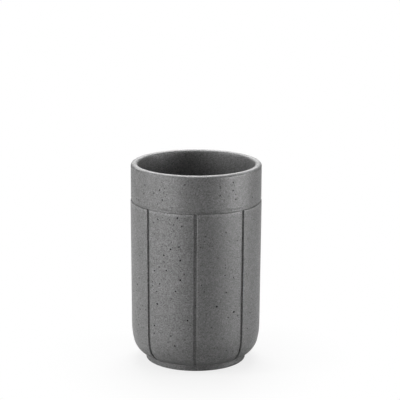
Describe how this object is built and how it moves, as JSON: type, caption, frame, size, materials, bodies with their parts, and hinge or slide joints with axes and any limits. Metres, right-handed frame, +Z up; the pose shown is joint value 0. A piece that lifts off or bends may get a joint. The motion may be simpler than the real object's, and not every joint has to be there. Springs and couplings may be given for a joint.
{
  "type": "bathroom tumbler",
  "caption": "Round stone-look bathroom tumbler with a plain lip band, a ring groove, upright grooves that run under to a low foot, and a recessed foam grip pad.",
  "frame": {"origin": "centre of the grip pad's underside, on the surface that the tumbler stands on", "axes": "+Z up along the tumbler's axis, towards the mouth; -Y towards the groove that faces the viewer"},
  "size_m": [0.0724, 0.0724, 0.112],
  "materials": {
    "stone_resin": "matt, fine grain with small open pores",
    "adhesive_film": "translucent pressure-sensitive film",
    "foam_pad": "matt closed-cell foam"
  },
  "bodies": {
    "root": {"cup": "stone_resin", "pad_adhesive": "adhesive_film", "grip_pad": "foam_pad"}
  },
  "joints": []
}
